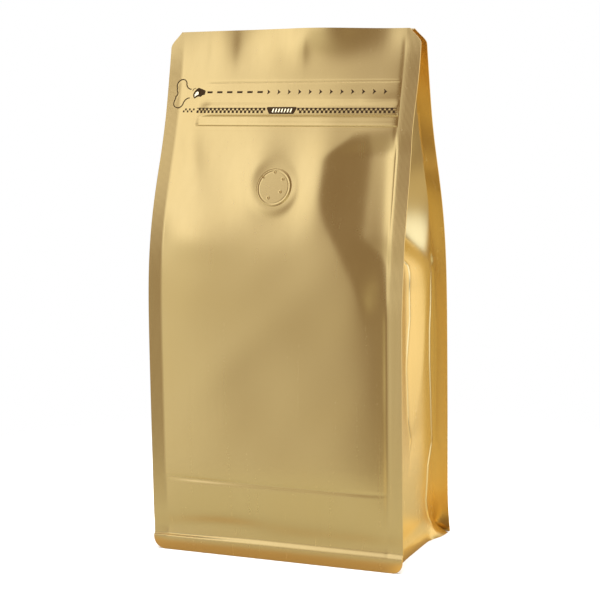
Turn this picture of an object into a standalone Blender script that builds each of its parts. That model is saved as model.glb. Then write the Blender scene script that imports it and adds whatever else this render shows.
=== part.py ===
"""Flat-bottom coffee bag: a filled box below, a leaning wedge with folded-in sides above.

Metres, +Z up, front towards -Y. The origin is the middle of the base, on the surface the bag stands on.
"""

import math

import bmesh
import bpy

# Bag, overall
BAG_WIDTH = 0.135  # across the upright side seals
BAG_DEPTH = 0.075  # seal to seal, where the bag is filled
BAG_HEIGHT = 0.2645
SEAL_WIDTH = 0.0073  # flat seal that stands out at each of the four upright edges
SEAL_THICKNESS = 0.0008
CORNER_CUT = 0.0080  # trimmed corner at the mouth
FOOT_RADIUS = 0.0060  # rounded foot of each upright seal
FRONT_NARROWING = 0.85  # how much of that radius the front seals' feet lose in width
BACK_NARROWING = 0.02
WAIST = 0.0009  # the seals draw in by this much below the zip
WAIST_HEIGHT = 0.2120
WAIST_SPREAD = 0.0260

# Shoulder, where the filled box turns into the leaning top
SHOULDER_HEIGHT = 0.1585
SHOULDER_SOFTNESS = 0.0149
LEAN = 0.370  # how far each big panel comes in, for each metre of height above the shoulder
MOUTH_HALF_DEPTH = 0.0020  # the panels level out towards this at the mouth
MOUTH_SOFTNESS = 0.0051
MOUTH_PINCH = 0.0018  # between the side folds the mouth is pressed this much flatter
MOUTH_PINCH_START = 0.2420
MOUTH_LENS = 1.6  # power of the lens shape that the pressed mouth has, seen from above
MOUTH_DIP = 0.0017  # the mouth is trimmed this much lower at its right end

# Side panels
FOLD_START = 0.1465
FOLD_SLOPE = 0.63  # how far the middle of a side panel goes in, for each metre above FOLD_START
FOLD_SOFTNESS = 0.004
FOLD_ROUNDING = 0.0020
SHOULDER_CREASE = 0.0022  # depth of the crease down the middle of the sloping shoulder
LOW_CREASE = 0.0016  # the same crease in the filled part
LOW_CREASE_END = 0.010
LOW_CREASE_DRIFT = 0.014  # how far the crease wanders to the front by its lower end
FOOT_FLARE = 0.0022  # a side panel's foot spreads this far over the base seal
FOOT_FLARE_HEIGHT = 0.009
BACK_EAR = 0.0050  # and further still at its back corner, where it meets the back seal's foot
BACK_EAR_HEIGHT = 0.0060
BACK_EAR_START = 0.0150

# Big panels
CROWN = 0.0024
CREASE_HEIGHT = 0.0360  # pressed line across the foot of each big panel
CREASE_DEPTH = 0.0007
CREASE_WIDTH = 0.0035
LIP_HEIGHT = 0.0065  # ridge of the base seal
LIP_RELIEF = 0.0016
LIP_WIDTH = 0.0030
TUCK_DEPTH = 0.0006  # the base seal turns under below its ridge
GROOVE_HEIGHT = 0.0135
GROOVE_DEPTH = 0.0010
BACK_KICK = 0.0040  # the back seals' feet splay out by this much
BACK_KICK_HEIGHT = 0.0110

# Base
BASE_WIDTH = 0.106  # raised middle of the base, inside its seals
BASE_DEPTH = 0.058
BASE_RECESS = 0.0012
BASE_CORNER = 0.008

# Fitments on the front panel
FILM_GAP = 0.0003
STRIP_LEFT = -0.0490
STRIP_RIGHT = 0.0592
STRIP_TAPER = 0.010
STRIP_COLUMNS = 24
ZIP_LOW = 0.2145
ZIP_HIGH = 0.2268
ZIP_THICKNESS = 0.0006
ZIP_ROWS = 14
ZIP_RIBS = (0.2170, 0.2214)  # heights of the two ribs
ZIP_RIB_RELIEF = 0.0011
ZIP_RIB_WIDTH = 0.0011
TEAR_LOW = 0.2276
TEAR_HIGH = 0.2386
TEAR_THICKNESS = 0.0006
TEAR_ROWS = 8
TEAR_CROWN = 0.0009
TAB_X = -0.0593
TAB_HEIGHT = 0.2328
TAB_LOBE_RADIUS = 0.0028
TAB_LOBE_OFFSET = 0.0051  # each lobe's distance above or below the tab's middle
TAB_WAIST = 0.0012  # how far the left side is hollowed between the lobes
TAB_NECK_HALF = 0.0024
TAB_NECK_END = 0.0125  # the neck runs this far to the right of TAB_X, into the tear strip
TAB_THICKNESS = 0.0005
VALVE_X = 0.0005
VALVE_HEIGHT = 0.1868
VALVE_RADIUS = 0.0096
VALVE_RIM = 0.0013
VALVE_RIM_TOP = 0.0018
VALVE_FACE = 0.0011
VALVE_STEPS = 40
PIN_HOLES = 5
PIN_RADIUS = 0.0004
PIN_CIRCLE = 0.0062
PIN_DEPTH = 0.0005

# Mesh
FRONT_COLUMNS = 18
SIDE_COLUMNS = 14
FOOT_STEP = 0.0016
FOOT_TOP = 0.0160
CREASE_STEP = 0.0045
BODY_STEP = 0.0190
SHOULDER_STEP = 0.0058
UPPER_STEP = 0.0095
MOUTH_STEP = 0.0022
ROUND_STEPS = 12

GOLD = (0.60, 0.45, 0.19)
HALF_WIDTH = BAG_WIDTH / 2


def smooth_step(value, start, end):
    share = min(1.0, max(0.0, (value - start) / (end - start)))
    return share * share * (3 - 2 * share)


def bump(value, centre, width):
    return math.exp(-(((value - centre) / width) ** 2))


def soft_ramp(value, softness):
    """Zero below 0 and value above it, turning over the given softness."""
    return softness * math.log1p(math.exp(value / softness))


def soft_min(a, b, rounding):
    return (a + b - math.hypot(a - b, rounding)) / 2


def half_depth(z):
    """Distance from the middle of the bag to the outer face of the upright seals."""
    leaning = BAG_DEPTH / 2 - LEAN * soft_ramp(z - SHOULDER_HEIGHT, SHOULDER_SOFTNESS)
    return MOUTH_HALF_DEPTH + soft_ramp(leaning - MOUTH_HALF_DEPTH, MOUTH_SOFTNESS)


def root(z):
    """Distance from the middle of the bag to where a side panel leaves its seal."""
    return HALF_WIDTH - SEAL_WIDTH - WAIST * bump(z, WAIST_HEIGHT, WAIST_SPREAD)


def foot_relief(z):
    """Ridge, groove and tucked-under edge of the base seal, positive outwards."""
    lip = LIP_RELIEF * bump(z, LIP_HEIGHT, LIP_WIDTH)
    groove = GROOVE_DEPTH * bump(z, GROOVE_HEIGHT, LIP_WIDTH)
    tuck = TUCK_DEPTH * (1 - smooth_step(z, 0, LIP_HEIGHT))
    return lip - groove - tuck


def panel_bulge(x, z):
    """How far a big panel stands out from the plane of its seals."""
    pillow = 1 - min(1.0, abs(x) / root(z)) ** 5
    fill = smooth_step(z, 0.004, 0.05) * (1 - 0.75 * smooth_step(z, 0.12, 0.24))
    crease = CREASE_DEPTH * bump(z, CREASE_HEIGHT, CREASE_WIDTH)
    lens = 1 - min(1.0, abs(x) / root(z)) ** MOUTH_LENS
    pinch = MOUTH_PINCH * smooth_step(z, MOUTH_PINCH_START, BAG_HEIGHT)
    return pillow * (CROWN * fill - crease) - lens * pinch


def panel_y(x, z):
    """Outer face of the front panel."""
    return -(half_depth(z) + foot_relief(z) + panel_bulge(x, z))


def seal_tip(z, narrowing):
    """Half the width of the bag over its seals: trimmed at the mouth, rounded at the foot."""
    trim = SEAL_WIDTH * 0.93 * smooth_step(z, BAG_HEIGHT - CORNER_CUT, BAG_HEIGHT + CORNER_CUT * 0.3)
    below = max(0.0, FOOT_RADIUS - z)
    rounding = FOOT_RADIUS - math.sqrt(FOOT_RADIUS**2 - below**2)
    return root(z) + SEAL_WIDTH - trim - narrowing * rounding


def back_kick(x, z):
    """How far the back's foot splays out, mostly at its corners."""
    return BACK_KICK * (1 - smooth_step(z, 0, BACK_KICK_HEIGHT)) * (x / HALF_WIDTH) ** 6


def fold_inset(y, z):
    """How far a side panel is folded in, y from front to back across it.

    Above the shoulder the film of the panel folds into a V as the big panels come together. Lower down the
    fill holds the V open, and a sloping shoulder meets it in two soft ridges.
    """
    span = half_depth(z) - SEAL_THICKNESS
    away = max(0.0, span - abs(y))
    full = math.sqrt(max(0.0, (BAG_DEPTH / 2) ** 2 - half_depth(z) ** 2))
    shoulder = FOLD_SLOPE * soft_ramp(z - FOLD_START, FOLD_SOFTNESS) + SHOULDER_CREASE * away / span
    upper = max(0.0, soft_min(full * away / span, shoulder, FOLD_ROUNDING))

    drift = -LOW_CREASE_DRIFT * (1 - smooth_step(z, 0.02, 0.10))
    reach = span + drift if y < drift else span - drift
    crease = LOW_CREASE * smooth_step(z, LOW_CREASE_END, 0.04) * (1 - smooth_step(z, 0.13, FOLD_START))
    lower = crease * (1 - min(1.0, abs(y - drift) / reach))

    flare = FOOT_FLARE * (1 - smooth_step(z, 0, FOOT_FLARE_HEIGHT)) * min(1.0, 4 * away / span)
    ear = BACK_EAR * (1 - smooth_step(z, 0, BACK_EAR_HEIGHT)) * smooth_step(y, BACK_EAR_START, BAG_DEPTH / 2)
    return upper + lower - flare - ear


def section(z):
    """One level of the pouch: (x, y) points, anticlockwise seen from above, from the front left seal."""
    edge = root(z)
    outer = half_depth(z) + foot_relief(z)
    inner = outer - SEAL_THICKNESS
    across = [math.sin(math.pi * (i / FRONT_COLUMNS - 0.5)) * edge for i in range(FRONT_COLUMNS + 1)]
    tip = seal_tip(z, FRONT_NARROWING)
    front = [(-tip, -outer)] + [(x, panel_y(x, z)) for x in across] + [(tip, -outer), (tip, -inner)]
    back_tip = seal_tip(z, BACK_NARROWING)
    kick = back_kick(back_tip, z)
    back = [(back_tip, inner + kick), (back_tip, outer + kick)]
    back += [(x, back_kick(x, z) - panel_y(x, z)) for x in reversed(across)]
    back += [(-back_tip, outer + kick), (-back_tip, inner + kick)]

    rows = [math.sin(math.pi * (i / SIDE_COLUMNS - 0.5)) for i in range(SIDE_COLUMNS + 1)]
    span = half_depth(z) - SEAL_THICKNESS
    side = []
    for row in rows:
        splay = back_kick(edge, z) * max(0.0, row) ** 4
        side.append((edge - fold_inset(row * span, z), row * inner + splay))
    other_side = [(-x, y) for x, y in reversed(side)]
    return front + side + back + other_side + [(-tip, -inner)]


def mouth_dip(x, z):
    """How much lower the film sits towards the right end of the mouth."""
    return MOUTH_DIP * smooth_step(x, 0, HALF_WIDTH) * smooth_step(z, MOUTH_PINCH_START, BAG_HEIGHT)


def spread(start, end, step):
    """Heights from start up to, but not including, end."""
    count = max(1, round((end - start) / step))
    return [start + (end - start) * i / count for i in range(count)]


def levels():
    stops = [
        (0, FOOT_STEP),
        (FOOT_TOP, CREASE_STEP),
        (CREASE_HEIGHT + 2 * CREASE_WIDTH, BODY_STEP),
        (FOLD_START - 2 * FOLD_SOFTNESS, SHOULDER_STEP),
        (FOLD_START + BAG_DEPTH, UPPER_STEP),
        (BAG_HEIGHT - CORNER_CUT, MOUTH_STEP),
        (BAG_HEIGHT, 0),
    ]
    heights = []
    for (start, step), (end, _) in zip(stops, stops[1:]):
        heights += spread(start, end, step)
    return heights + [BAG_HEIGHT]


def clear_scene():
    for obj in list(bpy.data.objects):
        bpy.data.objects.remove(obj, do_unlink=True)


def new_collection(name):
    collection = bpy.data.collections.new(name)
    bpy.context.scene.collection.children.link(collection)
    return collection


def new_object(name, data, collection):
    obj = bpy.data.objects.new(name, data)
    collection.objects.link(obj)
    return obj


def new_mesh(name, bm):
    mesh = bpy.data.meshes.new(name)
    bm.to_mesh(mesh)
    bm.free()
    return mesh


def make_helper(name, mesh, helpers):
    """A cutter, or a piece that a Boolean joins to another."""
    helper = new_object(name, mesh, helpers)
    helper.hide_render = True
    helper.display_type = "WIRE"
    return helper


def add_boolean(obj, helper, operation):
    modifier = obj.modifiers.new(helper.name, "BOOLEAN")
    modifier.operation = operation
    modifier.object = helper


def add_foil(obj, roughness):
    material = bpy.data.materials.new(obj.name + "_foil")
    material.use_nodes = True
    shader = material.node_tree.nodes["Principled BSDF"]
    shader.inputs["Base Color"].default_value = (*GOLD, 1)
    shader.inputs["Metallic"].default_value = 1.0
    shader.inputs["Roughness"].default_value = roughness
    obj.data.materials.append(material)


def shade(obj, sharp_angle=35):
    obj.data.shade_smooth()
    obj.data.set_sharp_from_angle(angle=math.radians(sharp_angle))


def lay_on_panel(obj, x, z, reach):
    """Put obj, which reaches that far each way, flat on the leaning front panel, FILM_GAP clear of it."""
    lean = math.atan2(panel_y(x, z + reach) - panel_y(x, z - reach), 2 * reach)
    obj.rotation_euler = (math.pi / 2 - lean, 0, 0)
    obj.location = (x, panel_y(x, z) - FILM_GAP * math.cos(lean), z + FILM_GAP * math.sin(lean))


def make_pouch(bag, helpers):
    """The filled pouch with its four upright seals: sections lofted from the base to the mouth."""
    bm = bmesh.new()
    rings = [[bm.verts.new((x, y, z - mouth_dip(x, z))) for x, y in section(z)] for z in levels()]
    for low, high in zip(rings, rings[1:]):
        for i in range(len(low)):
            bm.faces.new((low[i - 1], low[i], high[i], high[i - 1]))
    bm.faces.new(reversed(rings[0]))
    bm.faces.new(rings[-1])
    pouch = new_object("pouch", new_mesh("pouch", bm), bag)
    add_foil(pouch, 0.42)
    shade(pouch)

    bm = bmesh.new()
    bmesh.ops.create_cube(bm, size=1)
    bmesh.ops.scale(bm, verts=bm.verts, vec=(BASE_WIDTH, BASE_DEPTH, 2 * BASE_RECESS))
    upright = [edge for edge in bm.edges if abs(edge.verts[0].co.z - edge.verts[1].co.z) > BASE_RECESS]
    bmesh.ops.bevel(bm, geom=upright, offset=BASE_CORNER, segments=4, profile=0.5, affect="EDGES")
    add_boolean(pouch, make_helper("base_recess", new_mesh("base_recess", bm), helpers), "DIFFERENCE")


def make_strip(name, bag, low, high, thickness, rows, relief):
    """Strip that follows the front panel just clear of it, and stands out by the relief away from its left end."""
    bm = bmesh.new()
    bmesh.ops.create_grid(bm, x_segments=STRIP_COLUMNS, y_segments=rows, size=0.5)
    for vert in bm.verts:
        x = STRIP_LEFT + (vert.co.x + 0.5) * (STRIP_RIGHT - STRIP_LEFT)
        z = low + (vert.co.y + 0.5) * (high - low)
        away = smooth_step(x, STRIP_LEFT, STRIP_LEFT + STRIP_TAPER)
        vert.co = (x, panel_y(x, z) - FILM_GAP - relief(z) * away, z)
    strip = new_object(name, new_mesh(name, bm), bag)
    shell = strip.modifiers.new("thickness", "SOLIDIFY")
    shell.thickness = thickness
    shell.offset = 1
    add_foil(strip, 0.40)
    shade(strip)
    return strip


def zip_relief(z):
    return ZIP_RIB_RELIEF * sum(bump(z, rib, ZIP_RIB_WIDTH) for rib in ZIP_RIBS)


def tear_relief(z):
    return TEAR_CROWN * math.sin(math.pi * (z - TEAR_LOW) / (TEAR_HIGH - TEAR_LOW))


def lobe(middle, start, end):
    """Arc round one end of the pull tab, angles in degrees."""
    turns = [math.radians(start + (end - start) * i / ROUND_STEPS) for i in range(ROUND_STEPS + 1)]
    return [(TAB_LOBE_RADIUS * math.cos(a), middle + TAB_LOBE_RADIUS * math.sin(a)) for a in turns]


def make_tab(helpers):
    """Dumb-bell pull tab with a neck to the right, as a flat plate on the panel."""
    outline = bpy.data.curves.new("tab_outline", "CURVE")
    outline.dimensions = "2D"
    outline.fill_mode = "BOTH"
    outline.extrude = TAB_THICKNESS / 2
    points = [(TAB_NECK_END, -TAB_NECK_HALF), (TAB_NECK_END, TAB_NECK_HALF)]
    points += lobe(TAB_LOBE_OFFSET, -10, 230)
    points += [(TAB_WAIST - TAB_LOBE_RADIUS, 0)]
    points += lobe(-TAB_LOBE_OFFSET, 130, 370)
    spline = outline.splines.new("POLY")
    spline.points.add(len(points) - 1)
    for point, (x, y) in zip(spline.points, points):
        point.co = (x, y, 0, 1)
    spline.use_cyclic_u = True
    plate = new_object("tab_outline", outline, helpers)
    lay_on_panel(plate, TAB_X, TAB_HEIGHT, TAB_LOBE_OFFSET)
    bpy.context.view_layer.update()

    mesh = bpy.data.meshes.new_from_object(plate.evaluated_get(bpy.context.evaluated_depsgraph_get()))
    bm = bmesh.new()
    bm.from_mesh(mesh)
    bmesh.ops.remove_doubles(bm, verts=bm.verts, dist=0.00001)
    # Out by half its thickness, and a little more where the panel has begun to crown.
    bmesh.ops.translate(bm, verts=bm.verts, vec=(0, 0, TAB_THICKNESS / 2 + FILM_GAP / 2))
    tab = make_helper("tab", new_mesh("tab", bm), helpers)
    tab.matrix_world = plate.matrix_world
    bpy.data.objects.remove(plate)
    return tab


def make_tear_strip(bag, helpers):
    """Tear strip with its pull tab at the left, in one piece."""
    strip = make_strip("tear_strip", bag, TEAR_LOW, TEAR_HIGH, TEAR_THICKNESS, TEAR_ROWS, tear_relief)
    add_boolean(strip, make_tab(helpers), "UNION")


def make_valve(bag, helpers):
    """One-way valve: a turned disc with a raised rim and a ring of pin holes."""
    profile = [
        (0, VALVE_FACE),
        (VALVE_RADIUS - VALVE_RIM, VALVE_FACE),
        (VALVE_RADIUS - 0.7 * VALVE_RIM, VALVE_RIM_TOP),
        (VALVE_RADIUS - 0.3 * VALVE_RIM, VALVE_RIM_TOP),
        (VALVE_RADIUS, VALVE_FACE),
        (VALVE_RADIUS, 0),
        (0, 0),
    ]
    bm = bmesh.new()
    verts = [bm.verts.new((x, 0, z)) for x, z in profile]
    for pair in zip(verts, verts[1:]):
        bm.edges.new(pair)
    valve = new_object("valve", new_mesh("valve", bm), bag)
    turn = valve.modifiers.new("turn", "SCREW")
    turn.steps = VALVE_STEPS
    turn.render_steps = VALVE_STEPS
    turn.use_merge_vertices = True
    turn.merge_threshold = 0.00001
    lay_on_panel(valve, VALVE_X, VALVE_HEIGHT, VALVE_RADIUS)
    for i in range(PIN_HOLES):
        angle = 2 * math.pi * (i + 0.25) / PIN_HOLES
        bm = bmesh.new()
        bmesh.ops.create_cone(
            bm, cap_ends=True, segments=8, radius1=PIN_RADIUS, radius2=PIN_RADIUS, depth=2 * PIN_DEPTH
        )
        name = f"pin_hole_{i + 1}"
        hole = make_helper(name, new_mesh(name, bm), helpers)
        hole.parent = valve
        hole.location = (PIN_CIRCLE * math.cos(angle), PIN_CIRCLE * math.sin(angle), VALVE_FACE)
        add_boolean(valve, hole, "DIFFERENCE")
    add_foil(valve, 0.35)


def main():
    clear_scene()
    bag = new_collection("coffee_bag")
    helpers = new_collection("cutters")
    make_pouch(bag, helpers)
    make_strip("zip_track", bag, ZIP_LOW, ZIP_HIGH, ZIP_THICKNESS, ZIP_ROWS, zip_relief)
    make_tear_strip(bag, helpers)
    make_valve(bag, helpers)


main()
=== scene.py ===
import math

import bpy
import numpy as np
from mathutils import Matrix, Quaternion, Vector, geometry


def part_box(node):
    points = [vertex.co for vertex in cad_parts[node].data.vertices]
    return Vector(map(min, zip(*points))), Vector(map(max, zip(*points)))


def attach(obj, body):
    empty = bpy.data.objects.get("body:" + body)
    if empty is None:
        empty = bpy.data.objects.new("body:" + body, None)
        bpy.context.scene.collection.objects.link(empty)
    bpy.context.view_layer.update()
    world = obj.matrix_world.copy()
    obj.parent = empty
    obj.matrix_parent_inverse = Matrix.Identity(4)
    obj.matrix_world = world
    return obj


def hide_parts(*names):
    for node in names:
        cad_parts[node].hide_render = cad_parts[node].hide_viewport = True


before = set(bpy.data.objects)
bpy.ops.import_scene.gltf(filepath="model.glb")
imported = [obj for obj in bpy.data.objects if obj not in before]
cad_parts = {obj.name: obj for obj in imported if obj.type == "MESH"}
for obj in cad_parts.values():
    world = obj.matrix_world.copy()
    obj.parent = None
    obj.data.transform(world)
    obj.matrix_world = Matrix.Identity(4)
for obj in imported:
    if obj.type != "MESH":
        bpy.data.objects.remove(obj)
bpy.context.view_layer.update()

# A satin gold flat-bottom coffee bag. Metres, +Z up, front towards -Y.
print("frame loaded:", sorted(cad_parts))

bag = {
    "halfWidth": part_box("pouch")[1].x,
    "height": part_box("pouch")[1].z,
    "halfDepth": 0.0375,
    # Flat seals standing out at the upright edges
    "sealWidth": 0.0073,
    "sealThickness": 0.0008,
    # Cut corners at the mouth: height, share of the seal's width cut off, and reach past the mouth
    "cornerCut": 0.0080,
    "cornerTrim": (0.93, 0.3),
    "footRadius": 0.0060,
    # Share of that radius that the feet of the seals lose in width
    "frontNarrowing": 0.85,
    "backNarrowing": 0.02,
    "waist": (0.0009, 0.2120, 0.0260),  # depth, height and spread of the drawn-in part below the zip
    # Leaning top: height and softness of the bend, lean, and how flat the films lie at the mouth
    "shoulder": (0.1585, 0.0149),
    "lean": 0.370,
    "mouthHalfDepth": 0.0020,
    "mouthSoftness": 0.0051,
    "mouthPinch": 0.0018,
    "mouthPinchStart": 0.2420,
    "mouthLens": 1.6,
    "mouthDip": 0.0017,  # the mouth is trimmed this much lower at its right end
    # Big panels: how far they stand out, the heights between which they do, and the share lost further up
    "crown": 0.0024,
    "crownReach": (0.004, 0.05, 0.12, 0.24),
    "crownLoss": 0.75,
    "crownPower": 5,
    "panelFade": 8,  # dents die away at a panel's edges, later with a higher power
    # Pressed line across the foot: depth at the left and right, height, width; then where the depth changes
    "crease": (0.0007, 0.0003, 0.0384, 0.0010),
    "creaseChange": (-0.045, -0.010),
    # Base seal: relief, height up to which it is full, height where it is gone, and that at the far left
    "lip": (0.0012, 0.0072, 0.0096, 0.0083),
    "lipChange": (-0.062, -0.005),
    "groove": (0.0006, 0.0130, 0.0050),
    "tuck": 0.0006,
    # Tips of the front seals stand forward: left, right, then in the leaning part. Then the heights where
    # that changes, and the height up to which it grows at the foot
    "finFlare": (0.0011, 0.0003, 0.0006, -0.0006),
    "finFlareChange": (0.13, 0.20),
    "finFlareStart": 0.012,
    # Line where each front seal starts: depth and width, where it starts, and where it fades out
    "rootGroove": (0.00010, 0.0012),
    "rootGrooveStart": (0.006, 0.012),
    "rootGrooveLeft": (0.036, 0.040),
    "rootGrooveRight": (0.255, 0.262),
    # Tips of the back seals stand out at the foot: size, height, x from which they do
    "backKick": (0.0040, 0.0250, 0.046),
    # Side panels, folded in above this height
    "foldStart": 0.1465,
    "foldSlope": 0.63,
    "foldSoftness": 0.004,
    "foldRounding": 0.0020,
    "shoulderCrease": 0.0022,
    # Fold down each side panel: depth, the heights it fades in between, and where it starts to fade out
    "lowCrease": (0.0014, 0.034, 0.062, 0.13),
    "footFlare": (0.0022, 0.0125, 4),  # size, height it dies away at, and how fast it starts at the seals
    "backEar": (0.0068, 0.0120, 0.0170),  # curl at the rear of the foot: size, height, depth it starts from
    # Fine ridges down each side panel: points (z, y), and the rise at heights (z, rise)
    "middleLine": [
        (0.0, 0.0), (0.0062, -0.003), (0.0176, -0.012), (0.036, -0.010), (0.045, -0.003),
        (0.058, 0.0015), (0.069, -0.0015), (0.095, -0.0010), (0.107, 0.0024), (0.119, 0.0058),
        (0.134, 0.0060), (0.146, 0.0047), (0.152, -0.003), (0.156, -0.010), (0.180, -0.004),
    ],
    "middleRise": [(0.0, 0.0), (0.052, 0.0), (0.062, 0.00050), (0.147, 0.00050), (0.158, 0.0)],
    "rearLine": [
        (0.006, 0.029), (0.015, 0.024), (0.021, 0.0224), (0.039, 0.026), (0.051, 0.0331),
        (0.072, 0.0317), (0.094, 0.0302), (0.110, 0.0305), (0.125, 0.0324), (0.145, 0.0326),
    ],
    "rearRise": [(0.004, 0.0), (0.012, 0.0004), (0.140, 0.00045), (0.150, 0.0)],
    "lineWidth": 0.00085,
    "pinch": (0.0345, 0.1465, 0.0016, 0.0035, 0.0010),  # dent behind the shoulder: y, z, reaches, depth
    # Crease low on the side: height, y where it reaches the floor, y where it has that height and the
    # tuck under it. Then the least and most share of that height, and how fast it starts at the seals
    "footLine": (0.0052, 0.0220, -0.008, 0.0009),
    "footLineLimits": (0.05, 1.1),
    "footLineStart": 6,
}

# Soft dents and swells of the front panel: x, z, reach in x, reach in z, turn in degrees, rise outwards
frontForm = {
    "swells": [
        (-0.0112, 0.192, 0.0115, 0.015, 0, 0.00130),
        (0.0225, 0.189, 0.011, 0.022, 0, 0.0012),
        (-0.006, 0.162, 0.030, 0.014, 0, 0.0004),
        (-0.004, 0.225, 0.036, 0.022, 0, 0.0010),
        (-0.050, 0.204, 0.006, 0.016, 18, 0.0007),
        (-0.018, 0.104, 0.011, 0.036, -48, 0.0006),
        (0.010, 0.070, 0.026, 0.030, 20, -0.0003),
        (-0.028, 0.0165, 0.022, 0.0036, 2, -0.0005),
        (-0.046, 0.163, 0.022, 0.012, 0, 0.0012),
    ],
    # The same for the flat header, where both films move together
    "header": [
        (0.0190, 0.2660, 0.0180, 0.0130, 0, 0.0052),
        (0.0520, 0.2640, 0.0090, 0.0110, 0, -0.0006),
        (-0.0380, 0.2580, 0.0080, 0.0120, 0, 0.0005),
        (-0.0100, 0.2570, 0.0090, 0.0120, 0, 0.0006),
    ],
    # Pressed folds of the header that rise to a crest and drop off on its right:
    # crest x, middle z, rise, reach left, reach right, reach z
    "pleats": [
        (-0.0305, 0.257, 0.00032, 0.012, 0.0012, 0.010),
        (0.0076, 0.2560, 0.00140, 0.014, 0.0024, 0.0085),
        (-0.0460, 0.254, 0.00025, 0.008, 0.0014, 0.010),
    ],
    # The same on the front film alone
    "frontPleats": [
        (0.0500, 0.132, 0.00080, 0.020, 0.0030, 0.012),
    ],
    # Hollow right of the valve. The film falls away to the right between its start and its end, and both
    # move right further down: x above, x below, and the heights between which it moves
    "hollowStart": (0.0240, 0.0480, 0.1860, 0.1250),
    "hollowEnd": (0.0455, 0.0600, 0.1650, 0.1480),
    "hollowCorner": (0.0130, 0.1980, 0.2130),  # its start moves right by this much between these heights
    "hollowReach": (0.2140, 0.2010, 0.1400, 0.1200),  # heights where it is gone, full, full and gone
    "hollowSlope": (0.142, 0.055, 0.45),  # fall, softness of its edges, share of it left at the seal
    "hollowFade": 24,
    "valveHalo": (0.0114, 0.0018, 0.00018),  # raised ring round the valve: radius, width, rise
    # The film is flat under the valve: height, slope to the right, and the radii between which that ends
    "valveSeat": (0.00080, -0.038),
    "valveSeatReach": (0.9, 1.7),
    "start": (0.009, 0.013),  # the dents grow between these heights
    "ripple": (0.00010, 0.03, 4),  # size, reach and seed
}

# The same for the back
backForm = {
    "swells": [
        (0.012, 0.196, 0.024, 0.016, 20, 0.0007),
        (-0.034, 0.186, 0.015, 0.022, -15, -0.0006),
        (0.042, 0.160, 0.010, 0.030, 10, 0.0005),
        (-0.010, 0.128, 0.034, 0.012, 8, -0.0004),
        (0.020, 0.082, 0.012, 0.038, -40, 0.0005),
        (-0.036, 0.060, 0.014, 0.026, 25, 0.0004),
    ],
    "start": (0.01, 0.04),
    "ripple": (0.0003, 0.06, 11),
}

# One-way valve: a disc raised to a soft edge, with pin holes
valve = {
    "middle": (-0.0011, 0.1866),
    "radius": 0.0093,
    "profile": [  # distance from the middle, height over the film
        (0, 0.00036), (0.0073, 0.00036), (0.0078, 0.00031), (0.0081, 0.00040), (0.0085, 0.00044),
        (0.0088, 0.00034), (0.0091, 0.00009), (0.0093, 0.00002),
    ],
    "pins": [
        (-0.0062, 0.0049), (-0.0003, 0.0073), (0.0043, 0.0040), (0.0037, -0.0021), (-0.0023, -0.0050),
    ],
    "pin": (0.00034, 0.00030, 0.00006),  # radius, depth, and height of the lip round it
    "pinLip": (1.7, 0.6),  # radius and width of that lip, in radii of the pin hole
    "rings": 84,
    "turns": 256,
}

# The zip and the tear strip. Heights along them are measured before their tilt
zipForm = {
    "left": -0.0500,
    "right": 0.0592,
    "tilt": (-0.012, -0.010),  # how much it drops per metre to the right, and the x where it doesn't shift
    "dip": (0.2290, 0.0034, 0.00050, 0.040),  # falls away at its right end: height, reach, depth, start
    # How far it takes to rise at the left, below and above that height, and over which height that changes
    "leftTaper": (0.0036, 0.0096, 0.2209, 0.001),
    "rightTaper": 0.0009,
    "least": (0.00003, 0.00004),  # least height over the film, at the ends and inside them
    "profile": [  # height along the bag, rise of the outer face over the film
        (0.2140, 0.00004), (0.2162, 0.00004), (0.2168, 0.00070), (0.2180, 0.00054), (0.2190, 0.00050),
        (0.2205, 0.00038), (0.2211, 0.00040), (0.2218, 0.00122), (0.2227, 0.00138), (0.2240, 0.00142),
        (0.2256, 0.00138), (0.2265, 0.00128), (0.2282, 0.00080), (0.2297, 0.00052), (0.2314, 0.00042),
        (0.2340, 0.00038), (0.2366, 0.00034), (0.2376, 0.00030), (0.2380, 0.00006), (0.2386, 0.00014),
        (0.2391, 0.00008), (0.2396, 0.00004),
    ],
    "seam": 0.2282,  # the zip ends and the tear strip starts here
    # Mesh: width of the finer columns at the left and right end, points across each stretch, and rows
    "fineEnds": (0.006, 0.002),
    "columns": (19, 120, 11),
    "rows": 66,
}


def smoothStep(value, start, end):
    share = np.clip((value - start) / (end - start), 0, 1)
    return share * share * (3 - 2 * share)


def hump(value, centre, width):
    return np.exp(-(((value - centre) / width) ** 2))


def softRamp(value, softness):
    return softness * np.logaddexp(0, value / softness)


def softMin(first, second, rounding):
    return (first + second - np.hypot(first - second, rounding)) / 2


def at(stops, value):
    return np.interp(value, *zip(*stops))


def ripples(across, up, reach, seed):
    # slow unevenness of film, between about -1 and 1
    draw = np.random.default_rng(seed)
    total = 0
    for _ in range(7):
        turn = draw.uniform(0, math.pi)
        wave = 2 * math.pi / (reach * draw.uniform(0.7, 1.8))
        place = across * math.cos(turn) + up * math.sin(turn)
        total = total + np.sin(wave * place + draw.uniform(0, 7))
    return total / 4


def halfDepth(z):
    height, softness = bag["shoulder"]
    leaning = bag["halfDepth"] - bag["lean"] * softRamp(z - height, softness)
    return bag["mouthHalfDepth"] + softRamp(leaning - bag["mouthHalfDepth"], bag["mouthSoftness"])


def root(z):
    # x where the upright seals start
    depth, height, spread = bag["waist"]
    return bag["halfWidth"] - bag["sealWidth"] - depth * hump(z, height, spread)


def sealTip(z, narrowing):
    # x of a seal's outer edge, with its corner cut at the mouth and its foot rounded
    share, past = bag["cornerTrim"]
    cut = bag["cornerCut"]
    trim = bag["sealWidth"] * share * smoothStep(z, bag["height"] - cut, bag["height"] + cut * past)
    radius = bag["footRadius"]
    rounding = radius - np.sqrt(radius**2 - np.clip(radius - z, 0, None) ** 2)
    return root(z) + bag["sealWidth"] - trim - narrowing * rounding


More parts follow.
